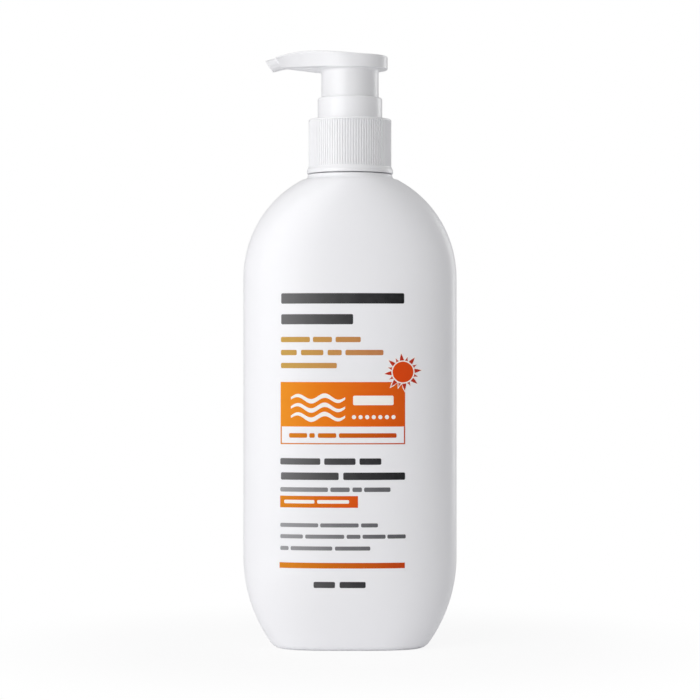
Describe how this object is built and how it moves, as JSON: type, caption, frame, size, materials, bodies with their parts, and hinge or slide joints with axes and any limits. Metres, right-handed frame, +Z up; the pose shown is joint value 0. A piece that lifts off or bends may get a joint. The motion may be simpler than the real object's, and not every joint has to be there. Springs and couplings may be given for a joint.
{
  "type": "lotion pump bottle",
  "caption": "Oval upright bottle with rounded shoulders and a screw-on lotion pump, whose press head has a thumb pad and a side spout.",
  "frame": {"origin": "centre of the base, on the surface that the bottle stands on", "axes": "+Z up along the pump's axis, the wide front faces -Y, the spout points to -X"},
  "size_m": [0.071, 0.035, 0.1976],
  "materials": {
    "bottle_plastic": "satin gloss blown polyethylene",
    "cap_plastic": "satin moulded polypropylene",
    "clear_plastic": "natural, slightly milky polypropylene",
    "seal": "soft matt polyethylene",
    "ball_steel": "ground steel",
    "spring_steel": "drawn wire"
  },
  "bodies": {
    "bottle": {"bottle": "bottle_plastic"},
    "pump_base": {"housing": "clear_plastic", "collar": "cap_plastic", "gasket": "seal", "dip_tube": "clear_plastic"},
    "closure": {"closure": "cap_plastic"},
    "spring_carrier": {"spring": "spring_steel"},
    "plunger": {"head": "cap_plastic", "stem": "cap_plastic", "piston_rod": "clear_plastic"},
    "piston": {"piston": "seal"},
    "inlet_ball": {"ball": "ball_steel"}
  },
  "joints": [
    {"name": "pump_lift", "type": "slide", "parent": "bottle", "child": "pump_base", "axis": [0, 0, 1], "range_m": [0, 0.0048]},
    {"name": "closure_turn", "type": "hinge", "parent": "pump_base", "child": "closure", "pos_m": [0, 0, 0.1655], "axis": [0, 0, 1], "range_deg": [0, 540]},
    {"name": "head_press", "type": "slide", "parent": "pump_base", "child": "spring_carrier", "axis": [0, 0, 1], "range_m": [-0.0065, 0], "stiffness_N_per_m": 700, "springref_m": 0.006, "deforming": ["spring"]},
    {"name": "head_turn", "type": "hinge", "parent": "spring_carrier", "child": "plunger", "pos_m": [0, 0, 0.19], "axis": [0, 0, 1], "range_deg": [0, 90]},
    {"name": "piston_slip", "type": "slide", "parent": "plunger", "child": "piston", "axis": [0, 0, 1], "range_m": [0, 0.0008]},
    {"name": "ball_lift", "type": "slide", "parent": "pump_base", "child": "inlet_ball", "axis": [0, 0, 1], "range_m": [0, 0.0015]}
  ],
  "couplings": [
    {"joint": "pump_lift", "follows": "closure_turn", "m_per_rad": 0.00050532}
  ]
}
